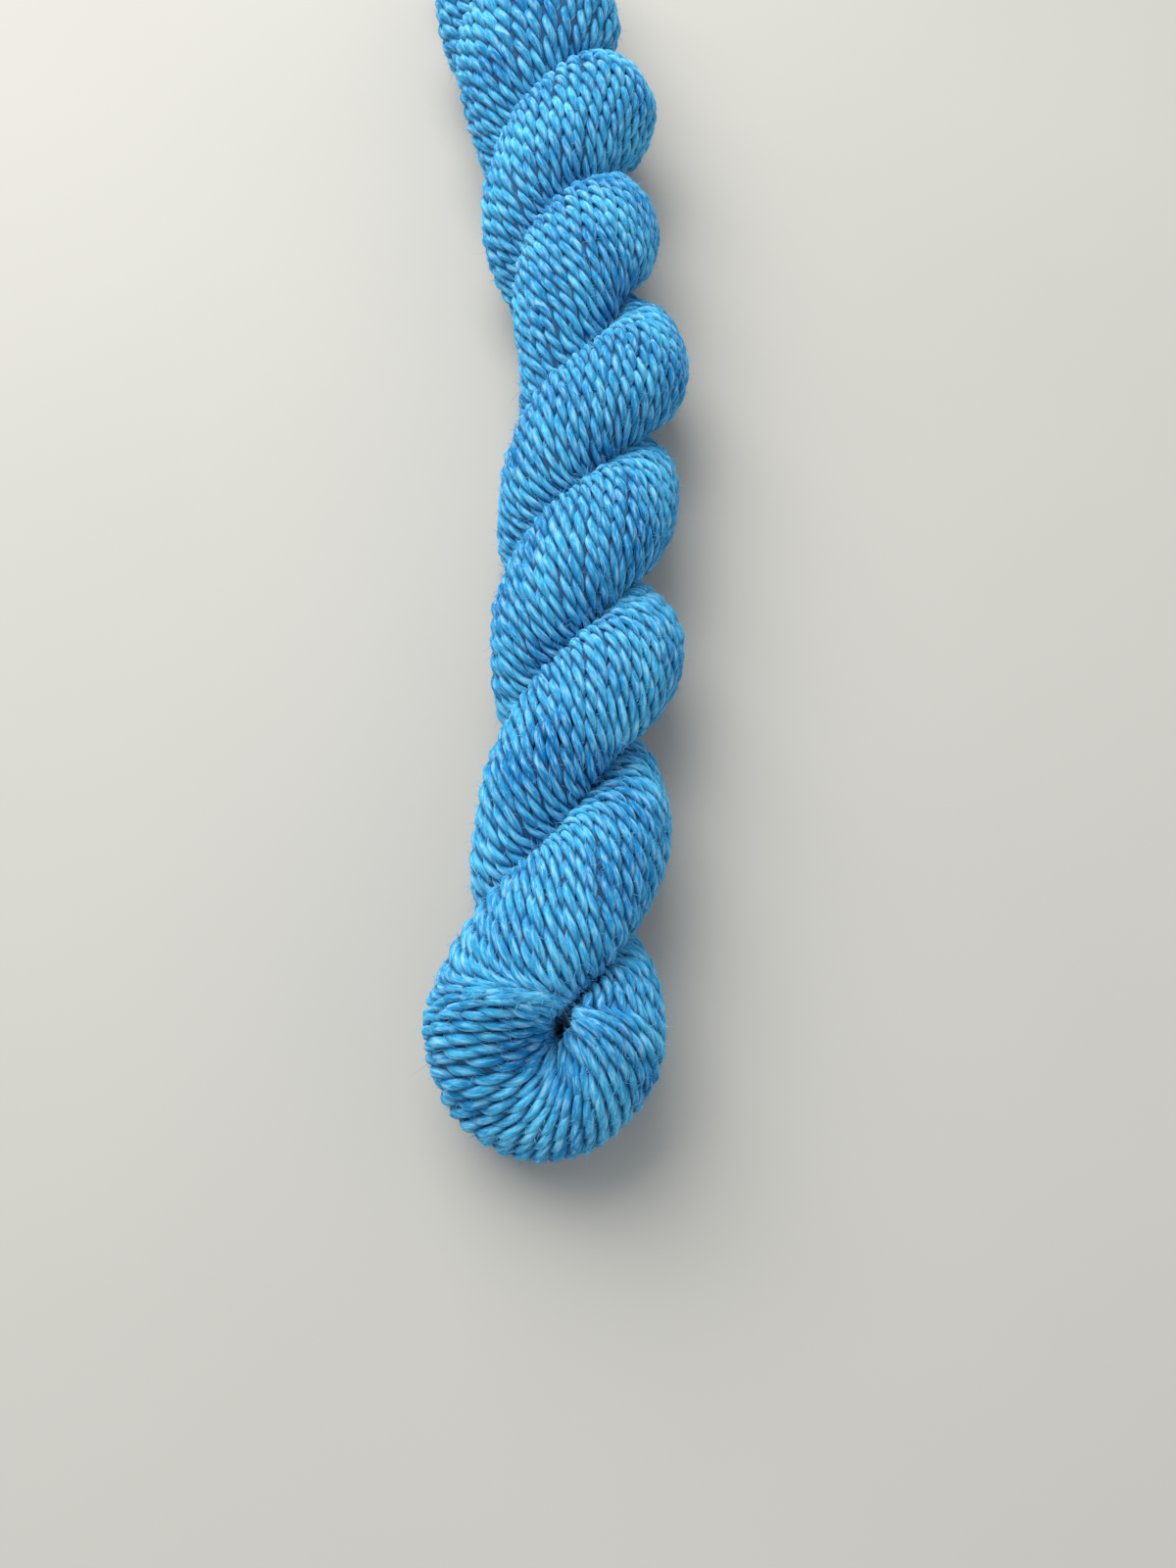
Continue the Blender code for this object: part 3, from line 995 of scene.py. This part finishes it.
@dataclass(frozen=True)
class Fuzz:
    """Loose fibre ends that stand out of the yarn and soften its outline."""

    name: str
    seed: int
    yarn: Yarn = Yarn()
    count: int = 17500
    length: Pair = (0.5 * MM, 2.2 * MM)
    radius: float = 0.038 * MM  # a wool fibre is 0.025 mm thick: drawn as a few together to show
    taper: float = 0.5  # how much of its width a fibre has lost at its tip
    root: float = 0.34  # how far from the middle of the yarn it starts, for its diameter
    root_lean: float = 0.8  # radians round the yarn from straight out of the hank
    ways: Triple = (0.6, 0.8, 0.4)  # out of the yarn, along it and beside it
    curl: Pair = (0.4, 1.5)
    bow: float = 0.6  # share of the curl that bends a fibre's end
    parts: int = 2
    sides: int = 3

    def build(self, strands: list[Strand], material: Material) -> Object:
        """Makes the fibres.

        Args:
            strands: the yarn they stand out of.
            material: their finish.

        Returns:
            One piece with all of them.
        """
        rng = np.random.default_rng(self.seed)
        middle = np.concatenate([strand.middle[2:-2] for strand in strands])
        out = unit(np.concatenate([strand.outward[2:-2] for strand in strands]))
        runs = [strand.middle[3:-1] - strand.middle[1:-3] for strand in strands]
        run = unit(np.concatenate(runs))
        shown = np.concatenate([strand.shown[2:-2] for strand in strands]) > 0.5
        picks = rng.choice(np.flatnonzero(shown), size=self.count)
        middle, out, run = middle[picks], out[picks], run[picks]
        beside = np.cross(run, out)
        draws = rng.normal(0.0, 1.0, (self.count, 3))
        lean = self.root_lean * draws[:, :1]
        root_way = out * np.cos(lean) + beside * np.sin(lean)
        start = middle + root_way * self.yarn.diameter * self.root
        outwards, onwards, sideways = self.ways
        way = outwards * root_way + onwards * draws[:, 1:2] * run
        way = unit(way + sideways * draws[:, 2:] * beside)
        curl = unit(rng.normal(0.0, 1.0, (self.count, 3)))
        curl = curl * rng.uniform(*self.curl, (self.count, 1))
        size = rng.uniform(*self.length, (self.count, 1))
        steps = np.linspace(0.0, 1.0, self.parts + 1)[:, None, None]
        line = start + size * (steps * way + self.bow * steps**2 * curl)
        line[..., 2] = np.maximum(line[..., 2], 2 * self.radius)
        flat = unit(np.cross(way, rng.normal(0.0, 1.0, (self.count, 3))))
        upright = np.cross(way, flat)
        turns = (np.arange(self.sides) * FULL_TURN / self.sides)[:, None]
        round_it = np.cos(turns) * flat[:, None] + np.sin(turns) * upright[:, None]
        width = self.radius * (1.0 - self.taper * steps[:-1, :, None])
        rings = line[:-1, :, None] + width * round_it
        maker = MeshMaker(self.name)
        maker.add_fibres(np.moveaxis(rings, 1, 0), line[-1])
        return maker.build(material)


# Finishes


def linear(code: str) -> tuple[float, float, float, float]:
    """Turns an sRGB hex colour to linear light.

    Args:
        code: six hex digits after a #.

    Returns:
        Red, green, blue and alpha.
    """
    parts = [int(code[start : start + 2], 16) / 255 for start in (1, 3, 5)]
    red, green, blue = (
        part / 12.92 if part <= 0.04045 else ((part + 0.055) / 1.055) ** 2.4 for part in parts
    )
    return red, green, blue, 1.0


Link = tuple[Node, str | int]


def add_node(
    tree: NodeTree,
    kind: str,
    settings: dict[str, object] | None = None,
    values: dict[str | int, object] | None = None,
    links: dict[str | int, Link] | None = None,
) -> Node:
    """Adds a node to a tree.

    Args:
        tree: the node tree.
        kind: which shader node.
        settings: properties of the node.
        values: fixed values of its inputs.
        links: for each input, the node and output that feed it.

    Returns:
        The node.
    """
    node = tree.nodes.new(f"ShaderNode{kind}")
    for name, value in (settings or {}).items():
        setattr(node, name, value)
    for name, value in (values or {}).items():
        node.inputs[name].default_value = value
    for name, (source, output) in (links or {}).items():
        tree.links.new(source.outputs[output], node.inputs[name])
    return node


def new_material(name: str) -> tuple[Material, NodeTree]:
    """Starts a material with an empty node tree.

    Args:
        name: the material's name.

    Returns:
        The material and its tree.
    """
    material = bpy.data.materials.new(name)
    material.use_nodes = True
    material.node_tree.nodes.clear()
    return material, material.node_tree


@dataclass(frozen=True)
class DyedWool:
    """Worsted-spun wool, plied and then dyed in the skein.

    The dye takes unevenly, so the blue drifts between a lighter and a deeper tone along the
    yarn. The grooves between the plies are painted with a deep blue shade. The fibres run along
    the yarn, each tuft of them a little proud of the next; proud tufts get a painted highlight and
    sunken ones a painted shade, in a random pattern that gives the speckle. The surface is matt,
    with a soft sheen at grazing angles from the fibre ends that stand up.
    """

    name: str = "dyed_wool"
    light: str = "#48bdee"
    deep: str = "#0280c4"
    # painted highlight on the proud tufts, in a random pattern; also the sheen's tint
    tuft_highlight: str = "#b0e4fa"
    # painted shade for the ply grooves and the sunken tufts
    groove: str = "#00457a"
    roughness: float = 0.8
    specular: float = 0.14
    ior: float = 1.54
    sheen: float = 0.09
    sheen_roughness: float = 0.4
    drift_mm: float = 10.0  # length over which the dye changes
    drift_ends: Pair = (0.32, 0.68)  # of the noise, for all deep and all light
    fibre_angle: float = math.radians(36)  # of the fibres against the plies, on the texture
    tuft_mm: Pair = (3.6, 0.55)
    fibre_mm: Pair = (1.5, 0.11)  # a fibre is 0.025 mm: drawn coarser to show
    fibre_share: float = 0.5  # of the relief, against the tufts
    proud: Pair = (0.72, 1.0)  # relief over which the painted highlight comes in
    sunken: Pair = (0.48, 0.75)  # relief over which the painted shade, in the groove's deep blue, fades out
    relief_tint: float = 0.65  # how much of the painted highlight, and of the painted shade, shows at the most
    groove_width: float = 0.85  # of a ply, to where the painted groove shade ends
    groove_tint: float = 0.92  # that painted shade at the most
    bump_mm: float = 0.16
    yarn_mm: float = 2.4

    def fibres(self, tree: NodeTree, place: Node, size_mm: Pair) -> Node:
        """A noise drawn out along the fibres.

        Args:
            tree: the material's tree.
            place: the node that gives the place on the yarn.
            size_mm: length and width of a fibre or a tuft.

        Returns:
            The noise.
        """
        scale = (size_mm[0] * MM, size_mm[1] * MM, 1.0)
        turned = add_node(
            tree,
            "Mapping",
            {"vector_type": "TEXTURE"},
            {"Rotation": (0.0, 0.0, self.fibre_angle), "Scale": scale},
            {"Vector": (place, "UV")},
        )
        return add_node(
            tree,
            "TexNoise",
            values={"Scale": 1.0, "Detail": 2.0, "Roughness": 0.6},
            links={"Vector": (turned, "Vector")},
        )

    def groove_shade(self, tree: NodeTree, place: Node) -> Node:
        """How much painted shade a place gets down in the groove between the two plies.

        Args:
            tree: the material's tree.
            place: the node that gives the place on the yarn.

        Returns:
            A node with its most in the groove and 0 on the plies.
        """
        parts = add_node(tree, "SeparateXYZ", links={"Vector": (place, "UV")})
        to_angle = {1: 2.0 / (self.yarn_mm * MM)}
        angle = add_node(tree, "Math", {"operation": "MULTIPLY"}, to_angle, {0: (parts, "Y")})
        across = add_node(tree, "Math", {"operation": "COSINE"}, links={0: (angle, 0)})
        size = add_node(tree, "Math", {"operation": "ABSOLUTE"}, links={0: (across, 0)})
        return add_node(
            tree,
            "MapRange",
            {"interpolation_type": "SMOOTHSTEP"},
            {"From Max": self.groove_width, "To Min": self.groove_tint, "To Max": 0.0},
            {"Value": (size, 0)},
        )

    def make(self) -> Material:
        """Makes the material.

        Returns:
            The finish of the yarn.
        """
        material, tree = new_material(self.name)
        place = add_node(tree, "TexCoord")
        on_yarn = add_node(tree, "UVMap", {"uv_map": "fibre"})
        drift = add_node(
            tree,
            "TexNoise",
            values={"Scale": 1000.0 / self.drift_mm, "Detail": 3.0, "Roughness": 0.55},
            links={"Vector": (place, "Object")},
        )
        tone = add_node(tree, "ValToRGB", links={"Fac": (drift, "Fac")})
        stops = zip(tone.color_ramp.elements, self.drift_ends, (self.deep, self.light))
        for stop, position, colour in stops:
            stop.position = position
            stop.color = linear(colour)
        tufts = self.fibres(tree, on_yarn, self.tuft_mm)
        single = self.fibres(tree, on_yarn, self.fibre_mm)
        relief = add_node(
            tree,
            "Math",
            {"operation": "MULTIPLY_ADD"},
            {1: self.fibre_share},
            {0: (single, "Fac"), 2: (tufts, "Fac")},
        )
        # Painted highlight on proud tufts and painted shade on sunken ones, from the fibres'
        # relief
        proud_highlight, sunken_shade = (
            add_node(
                tree,
                "MapRange",
                values={"From Min": low, "From Max": high, "To Min": start, "To Max": end},
                links={"Value": (relief, 0)},
            )
            for (low, high), (start, end) in (
                (self.proud, (0.0, self.relief_tint)),
                (self.sunken, (self.relief_tint, 0.0)),
            )
        )
        # Painted shade: the sunken tufts' or the ply groove's, whichever is more
        shaded = add_node(
            tree,
            "Math",
            {"operation": "MAXIMUM"},
            links={0: (sunken_shade, "Result"), 1: (self.groove_shade(tree, on_yarn), "Result")},
        )
        # Lay the painted highlight, then the painted shade, over the dye's tone
        colour = (tone, "Color")
        for share, tint in (((proud_highlight, "Result"), self.tuft_highlight), ((shaded, 0), self.groove)):
            mixed = add_node(
                tree, "Mix", {"data_type": "RGBA"}, {7: linear(tint)}, {0: share, 6: colour}
            )
            colour = (mixed, 2)
        bump = add_node(
            tree,
            "Bump",
            values={"Strength": 1.0, "Distance": self.bump_mm * MM},
            links={"Height": (relief, 0)},
        )
        surface = add_node(
            tree,
            "BsdfPrincipled",
            values={
                "Roughness": self.roughness,
                "IOR": self.ior,
                "Sheen Weight": self.sheen,
                "Sheen Roughness": self.sheen_roughness,
                "Sheen Tint": linear(self.tuft_highlight),
                "Specular IOR Level": self.specular,
            },
            links={"Base Color": colour, "Normal": (bump, "Normal")},
        )
        add_node(tree, "OutputMaterial", links={"Surface": (surface, "BSDF")})
        return material


@dataclass(frozen=True)
class PaleFloor:
    """Matt paint, rolled on: pale and nearly even, so that the yarn stands out from it."""

    name: str = "pale_floor"
    colour: str = "#b6b6b3"
    deep: str = "#afafac"
    roughness: float = 0.7
    mottle: float = 9.0  # patches in a metre

    def make(self) -> Material:
        """Makes the material.

        Returns:
            The finish of the floor.
        """
        material, tree = new_material(self.name)
        place = add_node(tree, "TexCoord")
        mottle = add_node(
            tree,
            "TexNoise",
            values={"Scale": self.mottle, "Detail": 4.0, "Roughness": 0.5},
            links={"Vector": (place, "Object")},
        )
        tone = add_node(tree, "ValToRGB", links={"Fac": (mottle, "Fac")})
        for stop, colour in zip(tone.color_ramp.elements, (self.deep, self.colour)):
            stop.color = linear(colour)
        surface = add_node(
            tree,
            "BsdfPrincipled",
            values={"Roughness": self.roughness, "IOR": 1.5},
            links={"Base Color": (tone, "Color")},
        )
        add_node(tree, "OutputMaterial", links={"Surface": (surface, "BSDF")})
        return material


# Studio


@dataclass(frozen=True)
class Studio:
    """Pale floor, soft light from the far left, and a camera close above the fold's side."""

    floor_size: float = 6.0
    camera_place: Triple = (9.5 * MM, -157.6 * MM, 188.1 * MM)
    camera_down: float = math.radians(67)
    focal_share: float = 1202.0 / 1600.0  # focal length against the picture's long side
    sensor: float = 36.0
    clip: Pair = (0.01, 20.0)
    sky: str = "#eef1f2"
    sky_strength: float = 0.7
    lamp_place: Triple = (-0.28, 0.38, 0.66)
    lamp_size: float = 0.8
    lamp_power: float = 9.9
    lamp_colour: str = "#fffaf2"

    def floor(self, material: Material) -> Object:
        """Makes the floor.

        Args:
            material: its finish.

        Returns:
            The floor.
        """
        half = self.floor_size / 2
        mesh = bpy.data.meshes.new("floor")
        square = [(-half, -half, 0.0), (half, -half, 0.0), (half, half, 0.0), (-half, half, 0.0)]
        mesh.from_pydata(square, [], [(0, 1, 2, 3)])
        mesh.materials.append(material)
        return linked("floor", mesh)

    def light(self) -> None:
        """Adds a broad soft lamp and an even sky."""
        lamp = bpy.data.lights.new("soft_lamp", "AREA")
        lamp.shape = "SQUARE"
        lamp.size = self.lamp_size
        lamp.energy = self.lamp_power
        lamp.color = linear(self.lamp_colour)[:3]
        holder = linked("soft_lamp", lamp)
        holder.location = self.lamp_place
        right, ahead, up = self.lamp_place
        down = math.atan2(math.hypot(right, ahead), up)
        holder.rotation_euler = (down, 0.0, math.atan2(right, -ahead))
        world = bpy.data.worlds.new("sky")
        world.use_nodes = True
        background = world.node_tree.nodes["Background"]
        background.inputs["Color"].default_value = linear(self.sky)
        background.inputs["Strength"].default_value = self.sky_strength
        bpy.context.scene.world = world
        bpy.context.scene.view_settings.view_transform = "Standard"

    def camera(self) -> None:
        """Adds the camera at the photographed angle."""
        data = bpy.data.cameras.new("camera")
        data.sensor_width = self.sensor
        data.lens = self.sensor * self.focal_share
        data.clip_start, data.clip_end = self.clip
        camera = linked("camera", data)
        camera.location = self.camera_place
        camera.rotation_euler = (math.pi / 2 - self.camera_down, 0.0, 0.0)
        bpy.context.scene.camera = camera


# The skein


@dataclass(frozen=True)
class Skein:
    """The whole skein: its strands, its inner turns and its loose fibres."""

    lay: HankLay = HankLay()
    tuck: TuckLay = TuckLay()
    inner_turns: InnerTurns = InnerTurns()
    groups: int = 4  # pieces that the hank's strands are shared between
    wool: DyedWool = DyedWool()
    # The inner turns' deep blue is painted shade, darker than the yarn, so the gaps read dark
    inside: DyedWool = DyedWool(name="wool_inside_painted_shade", light="#064c80", deep="#033c6a")
    ends: DyedWool = DyedWool(name="dyed_wool_ends", light="#84d2f8", deep="#4cb2ea")

    def build(self) -> list[Object]:
        """Makes every piece and dresses it.

        Returns:
            The pieces.
        """
        wool = self.wool.make()
        hank = self.lay.make()
        tucked = self.tuck.make()
        groups = range(self.groups)
        bundles = {f"strands_{group + 1}": hank[group :: self.groups] for group in groups}
        bundles["tucked_end"] = tucked
        pieces = []
        for name, strands in bundles.items():
            maker = MeshMaker(name)
            for strand in strands:
                self.lay.yarn.add(maker, strand)
            pieces.append(maker.build(wool))
        inner = self.inner_turns.build(self.inside.make())
        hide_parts(NODE)
        pieces.append(inner)
        loose = self.ends.make()
        for number, seed in enumerate(FIBRE_SEEDS, start=1):
            fuzz = Fuzz(f"loose_fibres_{number}", seed)
            pieces.append(fuzz.build(hank + tucked, loose))
        for piece in pieces:
            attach(piece, BODY)
        return pieces


def main() -> None:
    """Builds the scene in order and reports each piece."""
    logging.basicConfig(level=logging.INFO, format="%(message)s")
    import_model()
    for piece in Skein().build():
        triangles = len(piece.data.loops) - 2 * len(piece.data.polygons)
        log.info("%s: %d triangles", piece.name, triangles)
    studio = Studio()
    floor = studio.floor(PaleFloor().make())
    studio.light()
    studio.camera()


if __name__ == "__main__":
    main()
